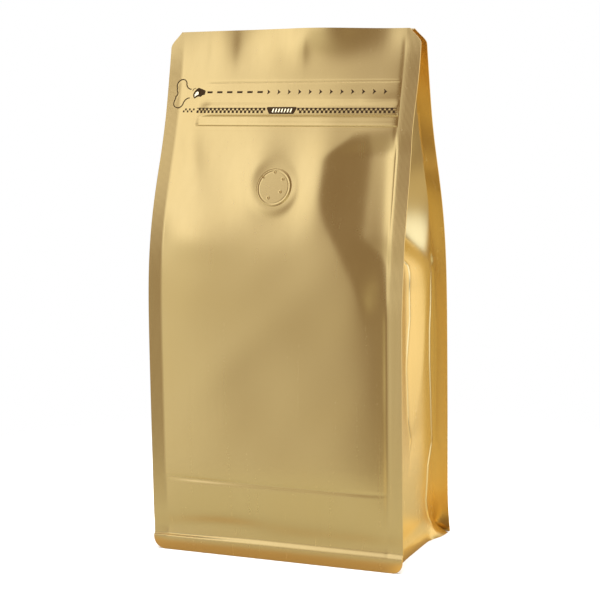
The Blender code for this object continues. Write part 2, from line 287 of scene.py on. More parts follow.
def footRelief(z, x=0):
    # the base seal's lip, the groove above it and the tuck under it
    relief, full, gone, goneLeft = bag["lip"]
    gone = goneLeft + (gone - goneLeft) * smoothStep(x, *bag["lipChange"])
    depth, low, spread = bag["groove"]
    lip = relief * (1 - smoothStep(z, full, gone))
    return lip - depth * hump(z, low, spread) - bag["tuck"] * (1 - smoothStep(z, 0, full)) ** 2


def backKick(x, z):
    size, height, start = bag["backKick"]
    return size * np.clip(1 - z / height, 0, 1) ** 2 * smoothStep(np.abs(x), start, root(z))


def backFoot(x, z):
    # the back's base seal dies away towards its upright seals
    return footRelief(z) * (1 - smoothStep(np.abs(x), bag["backKick"][2], root(z)))


def mouthShare(z):
    return smoothStep(z, bag["mouthPinchStart"], bag["height"])


def mouthDip(x, z):
    return bag["mouthDip"] * smoothStep(x, 0, bag["halfWidth"]) * mouthShare(z)


def panelBulge(x, z):
    # how far a big panel stands out from the plane of its seals
    share = np.clip(np.abs(x) / root(z), 0, 1)
    low, full, lessening, least = bag["crownReach"]
    fill = smoothStep(z, low, full) * (1 - bag["crownLoss"] * smoothStep(z, lessening, least))
    leftDepth, rightDepth, height, width = bag["crease"]
    depth = leftDepth + (rightDepth - leftDepth) * smoothStep(x, *bag["creaseChange"])
    pinch = bag["mouthPinch"] * mouthShare(z) * (1 - share ** bag["mouthLens"])
    return (1 - share ** bag["crownPower"]) * (bag["crown"] * fill - depth * hump(z, height, width)) - pinch


def inPanel(x, z, power):
    # 1 inside a big panel, dying away at the roots of its seals
    return 1 - np.clip(np.abs(x) / root(z), 0, 1) ** power


def swell(x, z, middleX, middleZ, reachX, reachZ, turn, rise):
    sine, cosine = math.sin(math.radians(turn)), math.cos(math.radians(turn))
    across = (x - middleX) * cosine + (z - middleZ) * sine
    along = (z - middleZ) * cosine - (x - middleX) * sine
    return rise * np.exp(-((across / reachX) ** 2) - (along / reachZ) ** 2)


def pleat(x, z, crest, middleZ, rise, left, right, reachZ):
    drop = 1 / (1 + np.exp(np.clip((x - crest) / right, -30, 30)))
    return rise * drop * np.exp(-np.abs(x - crest) / left) * hump(z, middleZ, reachZ)


def dents(x, z):
    size, reach, seed = frontForm["ripple"]
    total = size * ripples(x, z, reach, seed) + sum(swell(x, z, *form) for form in frontForm["swells"])
    return total + sum(pleat(x, z, *form) for form in frontForm["frontPleats"])


def headerFold(x, z):
    total = sum(swell(x, z, *form) for form in frontForm["header"])
    total = total + sum(pleat(x, z, *form) for form in frontForm["pleats"])
    return total * inPanel(x, z, bag["panelFade"])


def hollow(x, z):
    above, below, top, foot = frontForm["hollowStart"]
    start = below + (above - below) * smoothStep(z, foot, top)
    above, below, top, foot = frontForm["hollowEnd"]
    end = below + (above - below) * smoothStep(z, foot, top)
    high, fullHigh, fullLow, low = frontForm["hollowReach"]
    slope, softness, left = frontForm["hollowSlope"]
    depth = slope * (end - start)
    move, foot, top = frontForm["hollowCorner"]
    start = start + move * smoothStep(z, foot, top)
    share = (x - start) / (end - start)
    fall = softRamp(share, softness) - softRamp(share - 1, softness)
    kept = left + (1 - left) * inPanel(x, z, frontForm["hollowFade"])
    return depth * fall * kept * (1 - smoothStep(z, fullHigh, high)) * smoothStep(z, low, fullLow)


def frontRelief(x, z):
    # dents and swells of the front, flat under the valve and dying away towards the seals
    middleX, middleZ = valve["middle"]
    away = np.hypot(x - middleX, z - middleZ)
    inner, outer = frontForm["valveSeatReach"]
    under = 1 - smoothStep(away, inner * valve["radius"], outer * valve["radius"])
    height, slope = frontForm["valveSeat"]
    total = dents(x, z) * (1 - under) + (height + slope * (x - middleX)) * under
    radius, width, rise = frontForm["valveHalo"]
    away = away + 1e-9
    lowRight = 0.5 + 0.5 * (x - middleX - z + middleZ) / (away * math.sqrt(2))
    total = total + rise * lowRight * hump(away, radius, width)
    inside = (total * inPanel(x, z, bag["panelFade"])) * smoothStep(z, *frontForm["start"])
    return inside + headerFold(x, z) - hollow(x, z)


def sealForward(x, z):
    # the front seals bend forward to their tips, and a fine groove marks where each starts
    left, right, leftHigh, rightHigh = bag["finFlare"]
    low, high = np.where(x < 0, left, right), np.where(x < 0, leftHigh, rightHigh)
    out = np.clip((np.abs(x) - root(z)) / bag["sealWidth"], 0, None)
    flare = low + (high - low) * smoothStep(z, *bag["finFlareChange"])
    flare = flare * smoothStep(z, 0, bag["finFlareStart"]) * (1 - mouthShare(z))
    depth, width = bag["rootGroove"]
    goneLeft, goneRight = smoothStep(z, *bag["rootGrooveLeft"]), smoothStep(z, *bag["rootGrooveRight"])
    shown = np.where(x < 0, 1 - goneLeft, 1 - goneRight)
    groove = depth * shown * hump(np.abs(x), root(z) - width / 2, width)
    return flare * out - groove * smoothStep(z, *bag["rootGrooveStart"])


def filmY(x, z):
    # outer face of the front film
    return -(halfDepth(z) + footRelief(z, x) + panelBulge(x, z) + frontRelief(x, z) + sealForward(x, z))


def backY(x, z):
    # outer face of the back film
    size, reach, seed = backForm["ripple"]
    sag = sum(swell(x, z, *form) for form in backForm["swells"]) + size * ripples(x, z, reach, seed)
    sag = sag * smoothStep(z, *backForm["start"])
    plain = backKick(x, z) + halfDepth(z) + backFoot(x, z) + panelBulge(x, z)
    return plain + sag * inPanel(x, z, bag["panelFade"]) - headerFold(x, z)


def foldInset(y, z):
    # how far a side panel is folded in
    span = halfDepth(z) - bag["sealThickness"]
    away = np.clip(span - np.abs(y), 0, None)
    full = np.sqrt(np.clip(bag["halfDepth"] ** 2 - halfDepth(z) ** 2, 0, None))
    ramp = softRamp(z - bag["foldStart"], bag["foldSoftness"])
    shoulder = bag["foldSlope"] * ramp + bag["shoulderCrease"] * away / span
    upper = np.clip(softMin(full * away / span, shoulder, bag["foldRounding"]), 0, None)

    drift = at(bag["middleLine"], z)
    reach = np.where(y < drift, span + drift, span - drift)
    depth, gone, full, lessening = bag["lowCrease"]
    depth = depth * smoothStep(z, gone, full) * (1 - smoothStep(z, lessening, bag["foldStart"]))
    lower = depth * (1 - np.clip(np.abs(y - drift) / reach, 0, 1))

    size, height, start = bag["footFlare"]
    flare = size * (1 - smoothStep(z, 0, height)) * np.clip(start * away / span, 0, 1)
    size, height, start = bag["backEar"]
    ear = size * np.clip(1 - z / height, 0, 1) ** 4 * smoothStep(y, start, bag["halfDepth"])
    height, end, highest, depth = bag["footLine"]
    line = height * np.clip((end - y) / (end - highest), *bag["footLineLimits"])
    under = depth * np.clip((line - z) / height, 0, 1) * np.clip(bag["footLineStart"] * away / span, 0, 1)

    ridge = 0
    for rise, line in (("middleRise", "middleLine"), ("rearRise", "rearLine")):
        ridge = ridge + at(bag[rise], z) * hump(y, at(bag[line], z), bag["lineWidth"])
    pinchY, pinchZ, reachY, reachZ, depth = bag["pinch"]
    ridge = ridge - depth * hump(y, pinchY, reachY) * hump(z, pinchZ, reachZ)
    return upper + lower + under - flare - ear - ridge


def bandShift(x):
    slope, still = zipForm["tilt"]
    return slope * (x - still)


def zipRelief(x, z):
    # height of the zip's and the tear strip's outer face over the film
    heights, rises = zip(*zipForm["profile"])
    middleZ, reach, depth, first = zipForm["dip"]
    start, end = zipForm["left"], zipForm["right"]
    fallen = depth * hump(z, middleZ, reach) * smoothStep(x, first, end)
    atEnds, least = zipForm["least"]
    rise = np.maximum(np.interp(z, heights, rises) - fallen, least)
    lowTaper, highTaper, change, over = zipForm["leftTaper"]
    taper = lowTaper + (highTaper - lowTaper) * smoothStep(z, change, change + over)
    ends = smoothStep(x, start, start + taper) * (1 - smoothStep(x, end - zipForm["rightTaper"], end))
    return atEnds + (rise - atEnds) * ends


def skinY(x, z):
    # outer face of whatever covers the front at x, z
    level = z - bandShift(x)
    covered = (x > zipForm["left"]) & (x < zipForm["right"])
    covered = covered & (level > zipForm["profile"][0][0]) & (level < zipForm["profile"][-1][0])
    return filmY(x, z) - np.where(covered, zipRelief(x, level), 0)


# Shader tools: a socket that takes part in sums, and a tree that makes any node.
class wire:
    def __init__(self, tree, socket):
        self.tree = tree
        self.socket = socket

    def maths(self, operation, *others):
        values = {0: self} | {i + 1: other for i, other in enumerate(others)}
        return self.tree.node("Math", {"operation": operation}, values)

    def __add__(self, other):
        return self.maths("ADD", other)

    def __mul__(self, other):
        return self.maths("MULTIPLY", other)

    __radd__ = __add__
    __rmul__ = __mul__

    def __sub__(self, other):
        return self.maths("SUBTRACT", other)

    def __rsub__(self, other):
        return self.maths("MULTIPLY_ADD", -1, other)

    def clamped(self):
        return self.maths("MINIMUM", 1).maths("MAXIMUM", 0)

    def between(self, start, end):
        # 0 before start, 1 after end, smooth in between
        settings = {"interpolation_type": "SMOOTHSTEP"}
        return self.tree.node("MapRange", settings, {"Value": self, "From Min": start, "From Max": end})


class shaderTree:
    def __init__(self, owner):
        owner.use_nodes = True
        self.nodes = owner.node_tree.nodes
        self.links = owner.node_tree.links
        self.nodes.clear()

    def node(self, kind, settings, values, output=0):
        made = self.nodes.new("ShaderNode" + kind)
        for name, value in settings.items():
            if name == "stops":
                ramp = made.color_ramp
                for _ in value[2:]:
                    ramp.elements.new(0.5)
                for element, (place, colour) in zip(ramp.elements, value):
                    element.position = place
                    element.color = (*colour, 1)
            else:
                setattr(made, name, value)
        for name, value in values.items():
            socket = made.inputs[name] if isinstance(name, int) else self.find(made.inputs, name)
            if isinstance(value, wire):
                self.links.new(value.socket, socket)
            elif isinstance(value, tuple) and len(value) == 3 and socket.type == "RGBA":
                socket.default_value = (*value, 1)
            else:
                socket.default_value = value
        found = made.outputs[output] if isinstance(output, int) else self.find(made.outputs, output)
        return wire(self, found)

    def close(self, kind, surface):
        self.links.new(surface.socket, self.nodes.new("ShaderNode" + kind).inputs["Surface"])

    def find(self, sockets, name):
        return next(socket for socket in sockets if name in (socket.identifier, socket.name))

    def mix(self, share, first, second):
        values = {"Factor_Float": share, "A_Color": first, "B_Color": second}
        return self.node("Mix", {"data_type": "RGBA"}, values, "Result_Color")

    def noise(self, where, scale, detail=2.0):
        return self.node("TexNoise", {}, {"Vector": where, "Scale": scale, "Detail": detail})

    def stretched(self, where, stretch):
        return self.node("VectorMath", {"operation": "MULTIPLY"}, {0: where, 1: stretch})


# Camera: angles in degrees, lens and sensor in millimetres
view = {
    "yaw": 22.52,
    "pitch": 7.55,
    "roll": -0.89,
    "place": (0.29422518, -0.70947824, 0.2288734),
    "lens": 90.42,
    "sensor": 36,
    "nearest": 0.01,
}


def makeCamera():
    yaw, pitch = math.radians(view["yaw"]), math.radians(view["pitch"])
    look = Vector((-math.sin(yaw) * math.cos(pitch), math.cos(yaw) * math.cos(pitch), -math.sin(pitch)))
    camera = bpy.data.objects.new("viewCamera", bpy.data.cameras.new("viewCamera"))
    bpy.context.scene.collection.objects.link(camera)
    camera.data.lens = view["lens"]
    camera.data.sensor_width = view["sensor"]
    camera.data.clip_start = view["nearest"]
    camera.rotation_mode = "QUATERNION"
    roll = Quaternion(look, math.radians(-view["roll"]))
    camera.rotation_quaternion = roll @ look.to_track_quat("-Z", "Y")
    camera.location = view["place"]
    bpy.context.scene.camera = camera
    bpy.context.scene.view_settings.view_transform = "Standard"
    print("camera placed")


# Studio: soft boxes of light all round, a pale floor that fades out and shows painted shade in the foil,
# and a large soft lamp
studio = {
    "fill": (0.240, 0.176, 0.120),
    "backdrop": (1.0, 1.0, 1.0),  # what the camera sees behind the bag
    # Azimuth from the front to the right, elevation, half width, half height, softness of the edge, colour
    "softboxes": [
        (-42, 38, 20, 28, 24, (0.83, 0.87, 0.91)),
        (-54, -20, 36, 30, 34, (0.41, 0.44, 0.42)),
        (30, -8, 18, 18, 16, (0.50, 0.52, 0.38)),
        (77, -18, 16, 20, 13, (0.34, 0.32, 0.22)),
        (109, 0, 16, 13, 12, (0.98, 1.16, 1.42)),
        (164, 8, 34, 22, 14, (0.61, 0.54, 0.40)),
        (143, 4, 14, 22, 8, (0.30, 0.27, 0.15)),
        (-140, 20, 30, 40, 30, (0.50, 0.50, 0.48)),
        (0, 90, 180, 20, 24, (0.30, 0.30, 0.30)),
    ],
    "floorWhite": 0.86,
    "floorShade": 0.97,  # darkest part of the floor's grain, as a share of its white
    "floorGrain": 900.0,
    "floorRoughness": 0.9,
    # How the floor looks in the foil, painted darker than the floor the camera sees (painted shade): in
    # front of the bag and beside it, then the same close to its foot, with a warm painted shadow in front
    # and a painted orange glow of light bounced off the gold beside it
    "floorPaintedInFoil": [
        (0.205, 0.201, 0.166), (0.30, 0.27, 0.18), (0.232, 0.164, 0.085), (0.62, 0.46, 0.17),
    ],
    "floorTurn": (0.055, 0.085),  # x between which it changes from front to beside
    "floorNear": (0.004, 0.030),  # distances from the foot between which the painted shadow and glow close to it change to the painted shade further out
    "floorGap": 0.0001,
    "floorFade": (0.10, 0.34),  # radii between which it fades out
    "floorRim": 0.02,
    "floorTurns": 96,
    "lights": [  # name, place, aim, size, power
        ("topLight", (0.06, -0.16, 1.05), (0.0, 0.0, 0.0), 1.1, 34),
    ],
}


def makeWorld():
    world = bpy.data.worlds.new("studioWorld")
    bpy.context.scene.world = world
    tree = shaderTree(world)
    way = tree.node("TexCoord", {}, {}, "Generated")
    right, back, up = [tree.node("SeparateXYZ", {}, {"Vector": way}, axis) for axis in "XYZ"]
    azimuth = right.maths("ARCTAN2", back * -1) * (180 / math.pi)
    elevation = up.maths("ARCSINE") * (180 / math.pi)
    light = studio["fill"]
    for turn, rise, halfWidth, halfHeight, soft, colour in studio["softboxes"]:
        aside = (azimuth - turn).maths("WRAP", 180, -180).maths("ABSOLUTE")
        above = (elevation - rise).maths("ABSOLUTE")
        outside = aside.between(halfWidth - soft / 2, halfWidth + soft / 2)
        beyond = above.between(halfHeight - soft / 2, halfHeight + soft / 2)
        share = (1 - outside) * (1 - beyond)
        light = tree.node("VectorMath", {"operation": "MULTIPLY_ADD"}, {0: share, 1: colour, 2: light})
    seen = tree.node("LightPath", {}, {}, "Is Camera Ray")
    shown = tree.node("Background", {}, {"Color": tree.mix(seen, light, studio["backdrop"])})
    tree.close("OutputWorld", shown)
    print("world made")


def makeFloor():
    mesh = bpy.data.meshes.new("floor")
    turns = studio["floorTurns"]
    reach = studio["floorFade"][1] + studio["floorRim"]
    angles = [2 * math.pi * i / turns for i in range(turns)]
    ring = [(reach * math.cos(angle), reach * math.sin(angle), 0) for angle in angles]
    mesh.from_pydata(ring, [], [list(range(turns))])
    floor = bpy.data.objects.new("floor", mesh)
    bpy.context.scene.collection.objects.link(floor)
    floor.location = (0, 0, -studio["floorGap"])
    material = bpy.data.materials.new("paleFloor")
    tree = shaderTree(material)
    where = tree.node("TexCoord", {}, {}, "Object")
    away = tree.node("VectorMath", {"operation": "LENGTH"}, {0: where}, "Value")
    fade = away.between(*studio["floorFade"])
    grain = tree.noise(where, studio["floorGrain"])
    white = studio["floorWhite"]
    shade = white * studio["floorShade"]
    paper = tree.mix(grain, (white, white, white), (shade, shade, shade))
    # The camera sees the pale floor; every other ray sees painted shade instead: the floor darker in front
    # of and beside the bag, with a warm painted shadow and a painted gold glow close to its foot
    seen = tree.node("LightPath", {}, {}, "Is Camera Ray")
    x, y = [tree.node("SeparateXYZ", {}, {"Vector": where}, axis) for axis in "XY"]
    front, beside, paintedNearFront, paintedNearBeside = studio["floorPaintedInFoil"]
    aside = x.maths("ABSOLUTE") - bag["halfWidth"]
    gap = aside.maths("MAXIMUM", y.maths("ABSOLUTE") - bag["halfDepth"])
    turned = x.between(*studio["floorTurn"])
    awayFromFootPaint = gap.between(*studio["floorNear"])
    paintedInFoil = tree.mix(awayFromFootPaint, tree.mix(turned, paintedNearFront, paintedNearBeside), tree.mix(turned, front, beside))
    colour = tree.mix(seen, paintedInFoil, paper)
    values = {"Base Color": colour, "Roughness": studio["floorRoughness"], "Alpha": 1 - fade}
    finish = tree.node("BsdfPrincipled", {}, values)
    tree.close("OutputMaterial", finish)
    mesh.materials.append(material)


def makeLights():
    for name, place, aim, size, power in studio["lights"]:
        lamp = bpy.data.lights.new(name, "AREA")
        lamp.shape = "DISK"
        lamp.size = size
        lamp.energy = power
        obj = bpy.data.objects.new(name, lamp)
        bpy.context.scene.collection.objects.link(obj)
        obj.location = place
        obj.visible_glossy = False
        obj.rotation_euler = (Vector(aim) - Vector(place)).to_track_quat("-Z", "Y").to_euler()
    print("lights made")


# Gold foil laminate
foil = {
    "gold": (0.93, 0.73, 0.36),
    "deepGold": (0.91, 0.70, 0.32),
    "roughness": 0.26,
    # Slow changes of tone, and streaks along the way the foil was rolled
    "cloudScale": 14.0,
    "cloudRange": (0.3, 0.75),
    "rollScale": 420.0,
    "rollStretch": (1.0, 1.0, 0.02),
    "toneShares": (0.7, 0.2),
    "roughShares": (0.03, 0.05, 0.04),  # what the grain and the streaks add, and what the rest gives up
    "grainScale": 1800.0,
    "grainDepth": 0.0000007,
    # Fine ribs pressed into the upright seals
    "ribPitch": 0.00060,
    "ribDepth": 0.000005,
    "ribStart": 0.001,
}


def goldFoil(name, roughness):
    material = bpy.data.materials.new(name)
    tree = shaderTree(material)
    where = tree.node("TexCoord", {}, {}, "Object")
    cloud = tree.noise(where, foil["cloudScale"], 3.0)
    rolled = tree.noise(tree.stretched(where, foil["rollStretch"]), foil["rollScale"])
    byCloud, byRoll = foil["toneShares"]
    tone = (cloud.between(*foil["cloudRange"]) * byCloud + rolled * byRoll).clamped()
    colour = tree.mix(tone, foil["gold"], foil["deepGold"])
    grain = tree.noise(where, foil["grainScale"], 1.0)
    x = tree.node("SeparateXYZ", {}, {"Vector": where}, "X")
    sealRoot = bag["halfWidth"] - bag["sealWidth"]
    onSeal = x.maths("ABSOLUTE").between(sealRoot, sealRoot + foil["ribStart"])
    ribs = (x * (2 * math.pi / foil["ribPitch"])).maths("SINE") * onSeal
    height = grain * foil["grainDepth"] + ribs * foil["ribDepth"]
    bump = tree.node("Bump", {}, {"Height": height, "Distance": 1.0, "Strength": 1.0})
    byGrain, byRoll, givenUp = foil["roughShares"]
    rough = grain * byGrain + rolled * byRoll + (roughness - givenUp)
    values = {"Base Color": colour, "Metallic": 1.0, "Roughness": rough, "Normal": bump}
    shader = tree.node("BsdfPrincipled", {}, values)
    tree.close("OutputMaterial", shader)
    return material


# Printed ink, a little thinner in places
ink = {
    "dark": (0.024, 0.013, 0.005),
    "pale": (0.75, 0.66, 0.45),
    "thinner": (1.8, 0.01),  # thin ink is this many times lighter, and this much
    "thinRange": (0.35, 0.8),
    "thinShare": 0.6,
    "grainScale": 2400.0,
    "grainDepth": 0.00001,
    "roughness": (0.5, 0.15),  # least, and what the grain adds
    "shine": 0.12,
}


def inkMaterial(name, colour):
    material = bpy.data.materials.new(name)
    tree = shaderTree(material)
    where = tree.node("TexCoord", {}, {}, "Object")
    speckle = tree.noise(where, ink["grainScale"])
    lighter, more = ink["thinner"]
    thin = tuple(min(1.0, part * lighter + more) for part in colour)
    shade = tree.mix(speckle.between(*ink["thinRange"]) * ink["thinShare"], colour, thin)
    bump = tree.node("Bump", {}, {"Height": speckle * ink["grainDepth"], "Distance": 1.0, "Strength": 1.0})
    least, added = ink["roughness"]
    rough = speckle * added + least
    values = {"Base Color": shade, "Roughness": rough, "Normal": bump, "Specular IOR Level": ink["shine"]}
    shader = tree.node("BsdfPrincipled", {}, values)
    tree.close("OutputMaterial", shader)
    return material


# Mesh tools
sharpAngle = 38  # edges that turn by more degrees than this stay sharp
nearestPoints = 1e-7  # points of a flat outline closer than this are merged
innerGap = 0.45  # points inside an outline keep this far from it, in steps of their grid


def addPiece(name, verts, faces, material):
    mesh = bpy.data.meshes.new(name)
    mesh.from_pydata(verts, [], faces)
    mesh.update()
    piece = bpy.data.objects.new(name, mesh)
    bpy.context.scene.collection.objects.link(piece)
    mesh.materials.append(material)
    mesh.shade_smooth()
    mesh.set_sharp_from_angle(angle=math.radians(sharpAngle))
    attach(piece, "root")
    print(f"{name}: {len(mesh.vertices)} points, {len(mesh.polygons)} faces")
    return piece


def spaced(stops):
    # values from stop to stop, each stretch at its own step: (start, step), ..., (end, 0)
    values = []
    for (start, step), (end, _) in zip(stops, stops[1:]):
        count = max(1, round((end - start) / step))
        values += [start + (end - start) * i / count for i in range(count)]
    return np.array(values + [stops[-1][0]])


def ringFaces(rows, columns):
    index = np.arange(rows * columns).reshape(rows, columns)
    low, high = index[:-1], index[1:]
    quads = np.stack([low, np.roll(low, -1, 1), np.roll(high, -1, 1), high], -1)
    return quads.reshape(-1, 4).tolist()


# Mesh of the film. Columns and levels are stops: where a stretch starts, and its step
filmMesh = {
    "frontColumns": [(-1, 0.004), (-0.95, 0.010), (-0.86, 0.019), (0.86, 0.010), (0.95, 0.004), (1, 0)],
    "finColumns": 6,
    "sideColumns": (16, 10, 14, 10, 4),
    "ridgeReach": 1.9,  # the fine columns reach this many ridge widths each way
    "ridgeLimits": (-0.7, 0.88),
    "backColumns": 60,
    "backEven": 0.6,  # share of even spacing, the rest is closer together at the seals
    "levels": [
        (0, 0.0006), (0.0069, 0.00024), (0.0099, 0.0006), (0.020, 0.0011), (0.031, 0.0006),
        (0.041, 0.0017), (0.140, 0.0012), (0.212, 0.0011), (0.258, 0.0006), (bag["height"], 0),
    ],
    "mouthSlit": (0.55, 0.0006),  # share of the depth the films' inner edges lie at, and how far down
}


def sideRows(z, span):
    # share of the way back at each column of a side panel, close together along its two fine ridges
    near = filmMesh["ridgeReach"] * bag["lineWidth"] / span
    limits = filmMesh["ridgeLimits"]
    middle, rear = [np.clip(at(bag[name], z) / span, *limits) for name in ("middleLine", "rearLine")]
    stops = [-1 + 0 * z, middle - near, middle + near, rear - near, rear + near, 1 + 0 * z]
    parts = []
    for start, end, count in zip(stops, stops[1:], filmMesh["sideColumns"]):
        share = np.arange(count)[None, :] / count
        parts.append(start + (end - start) * share)
    return np.concatenate(parts + [stops[-1]], 1)


def filmRings():
    z = spaced(filmMesh["levels"])[:, None]
    edge = root(z)
    thick = bag["sealThickness"]
    tip = sealTip(z, bag["frontNarrowing"])
    backTip = sealTip(z, bag["backNarrowing"])
    fin = np.linspace(0, 1, filmMesh["finColumns"] + 1)[None, :]
    across = edge * spaced(filmMesh["frontColumns"])[None, :]
    even, share = np.linspace(1, -1, filmMesh["backColumns"] + 1)[None, :], filmMesh["backEven"]
    backAcross = edge * (share * even + (1 - share) * np.sin(even * math.pi / 2))
    span = halfDepth(z) - thick
    rows = sideRows(z, span)

    right = edge + (tip - edge) * fin
    backRight = edge + (backTip - edge) * fin
    sideX = edge - foldInset(rows * span, z)
    sideY = rows * (halfDepth(z) - thick + footRelief(z) * (rows < 0))
    sideY = sideY + backKick(edge, z) * np.clip(rows, 0, None) ** 4
    pressed = hollow(edge, z) * np.clip(-rows, 0, None) ** 4
    left = -right[:, ::-1]
    parts = [
        (left[:, :-1], filmY(left[:, :-1], z)),
        (across, filmY(across, z)),
        (right[:, 1:], filmY(right[:, 1:], z)),
        (right[:, ::-1], filmY(right[:, ::-1], z) + thick),
        (sideX[:, 1:-1], (sideY + pressed - headerFold(sideX, z))[:, 1:-1]),
        (backRight, halfDepth(z) + backKick(backRight, z) - thick),
        (backRight[:, :0:-1], halfDepth(z) + backKick(backRight[:, :0:-1], z)),
        (backAcross, backY(backAcross, z)),
        (-backRight[:, 1:], halfDepth(z) + backKick(backRight[:, 1:], z)),
        (-backRight[:, ::-1], halfDepth(z) + backKick(backRight[:, ::-1], z) - thick),
        (-sideX[:, -2:0:-1], (sideY - headerFold(-sideX, z))[:, -2:0:-1]),
        (-right, filmY(-right, z) + thick),
    ]
    x = np.concatenate([part[0] for part in parts], 1)
    y = np.concatenate([part[1] for part in parts], 1)
    return np.stack([x, y, z - mouthDip(x, z)], -1)


# The base: a flat band round the foot, and a panel pressed up inside it
base = {
    "size": (0.0530, 0.0290, 0.0050),  # half width, half depth and corner radius of the pressed-up panel
    "steps": 9,
    # Share of that size and height of each ring, from the flat band in
    "rings": [
        (1, 0), (0.996, 0.0003), (0.988, 0.0008), (0.976, 0.0011), (0.95, 0.0012), (0.84, 0.0013),
        (0.68, 0.0014), (0.50, 0.0015), (0.32, 0.0015), (0.16, 0.0016), (0.05, 0.0016),
    ],
    "sag": (0.00016, 0.04, 21),  # size, reach and seed
    "sagFull": 0.001,  # height at which the sag is full
}


def baseRing(reach):
    # rounded rectangle under the bag
    halfX, halfY, radius = base["size"]
    corners = [(1, 1, 0), (-1, 1, 90), (-1, -1, 180), (1, -1, 270)]
    ring = []
    for across, back, turn in corners:
        middle = across * (halfX - radius), back * (halfY - radius)
        ring += arc(*middle, radius, turn, turn + 90, base["steps"])
    return [(x * reach, y * reach) for x, y in ring]


def addBase(verts, faces, foot):
    start, count = len(verts), len(foot)
    rings = [(baseRing(reach), height) for reach, height in base["rings"]]
    turns = len(rings[0][0])
    flat = [Vector((x, y)) for x, y, _ in foot] + [Vector(point) for point in rings[0][0]]
    outlines = [list(range(count)), list(range(count, count + turns))]
    found = geometry.delaunay_2d_cdt(flat, [], outlines, 1, nearestPoints)
    number = [start + origin[0] - count if origin[0] >= count else origin[0] for origin in found[3]]
    for corners, source in zip(found[2], found[5]):
        if 1 not in source:
            faces.append([number[i] for i in reversed(corners)])
    size, reach, seed = base["sag"]
    for ring, height in rings:
        sag = size * ripples(*np.array(ring).T, reach, seed) * min(1, height / base["sagFull"])
        verts += [(x, y, height + rise) for (x, y), rise in zip(ring, sag)]
    faces += (start + np.array(ringFaces(len(rings), turns))[:, ::-1]).tolist()
    faces.append([start + (len(rings) - 1) * turns + i for i in range(turns)][::-1])


def makeFilm(material):
    rings = filmRings()
    rows, columns = rings.shape[:2]
    verts, faces = rings.reshape(-1, 3).tolist(), ringFaces(rows, columns)
    inwards, down = filmMesh["mouthSlit"]
    x, y, z = rings[-1].T
    middle = -headerFold(x, bag["height"])
    inner = np.stack([x, middle + (y - middle) * inwards, z - down], -1)
    faces += (np.array(ringFaces(2, columns)) + (rows - 1) * columns).tolist()
    verts += inner.tolist()
    faces.append(list(range(rows * columns, (rows + 1) * columns)))
    addBase(verts, faces, rings[0])
    film = addPiece("filmPouch", verts, faces, material)
    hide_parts("pouch")


def onSkin(points, faces, lift, skin=None, sink=0.0003):
    # closed plate that follows the front: flat points (x, z) and faces turning left, raised by lift
    flat = np.array(points, float)
    rise = np.zeros(len(flat)) + lift
    surface = (skin or skinY)(flat[:, 0], flat[:, 1])
    front = np.stack([flat[:, 0], surface - rise, flat[:, 1]], -1)
    behind = np.stack([flat[:, 0], surface + sink, flat[:, 1]], -1)
    count = len(flat)
    edges = {(face[i - 1], face[i]) for face in faces for i in range(len(face))}
    walls = [(b, a, a + count, b + count) for a, b in sorted(edges) if (b, a) not in edges]
    backs = [tuple(index + count for index in reversed(face)) for face in faces]
    return np.concatenate([front, behind]), [tuple(face) for face in faces] + backs + walls


def gridFaces(rows, columns):
    index = np.arange(rows * columns).reshape(rows, columns)
    quads = np.stack([index[:-1, :-1], index[:-1, 1:], index[1:, 1:], index[1:, :-1]], -1)
    return quads.reshape(-1, 4).tolist()


def filled(outline, step):
    # triangles inside a flat outline, with a grid of points inside it so that it can follow the film
    outline = [tuple(point) for point in outline]
    lows, highs = np.min(outline, 0), np.max(outline, 0)
    inner = [
        (x, z)
        for x in np.arange(lows[0] + step / 2, highs[0], step)
        for z in np.arange(lows[1] + step / 2, highs[1], step)
        if clearance(outline, x, z) > step * innerGap
    ]
    coords = [Vector(point) for point in outline + inner]
    found = geometry.delaunay_2d_cdt(coords, [], [list(range(len(outline)))], 1, nearestPoints)
    points = np.array([tuple(point) for point in found[0]])
    return points, [list(face) for face in found[2]]


def clearance(outline, x, z):
    # distance to the outline, negative outside it
    ends = np.array(outline)
    starts = np.roll(ends, 1, 0)
    along = ends - starts
    reach = np.array((x, z)) - starts
    share = np.clip((reach * along).sum(1) / np.maximum((along**2).sum(1), 1e-18), 0, 1)
    distance = np.hypot(*(reach - share[:, None] * along).T).min()
    crosses = (starts[:, 1] > z) != (ends[:, 1] > z)
    slope = np.where(along[:, 1] == 0, 1e-12, along[:, 1])
    side = x < starts[:, 0] + (z - starts[:, 1]) / slope * along[:, 0]
    return distance if (crosses & side).sum() % 2 else -distance


def ribbon(path, width):
    # flat line of that width along a path of (x, z) points
    path = np.array(path, float)
    ahead = np.roll(path, -1, 0) - np.roll(path, 1, 0)
    ahead[0], ahead[-1] = path[1] - path[0], path[-1] - path[-2]
    ahead /= np.hypot(*ahead.T)[:, None]
    aside = np.stack([-ahead[:, 1], ahead[:, 0]], -1) * width / 2
    points = np.concatenate([path - aside, path + aside])
    count = len(path)
    return points, [(i, i + 1, i + 1 + count, i + count) for i in range(count - 1)]


def joined(shapes):
    verts, faces = [], []
    for points, polygons in shapes:
        faces += [tuple(index + len(verts) for index in polygon) for polygon in polygons]
        verts += [tuple(point) for point in points]
    return verts, faces


def arc(middleX, middleZ, radius, start, end, steps=14):
    angles = np.radians(np.linspace(start, end, steps))
    return [(middleX + radius * math.cos(a), middleZ + radius * math.sin(a)) for a in angles]


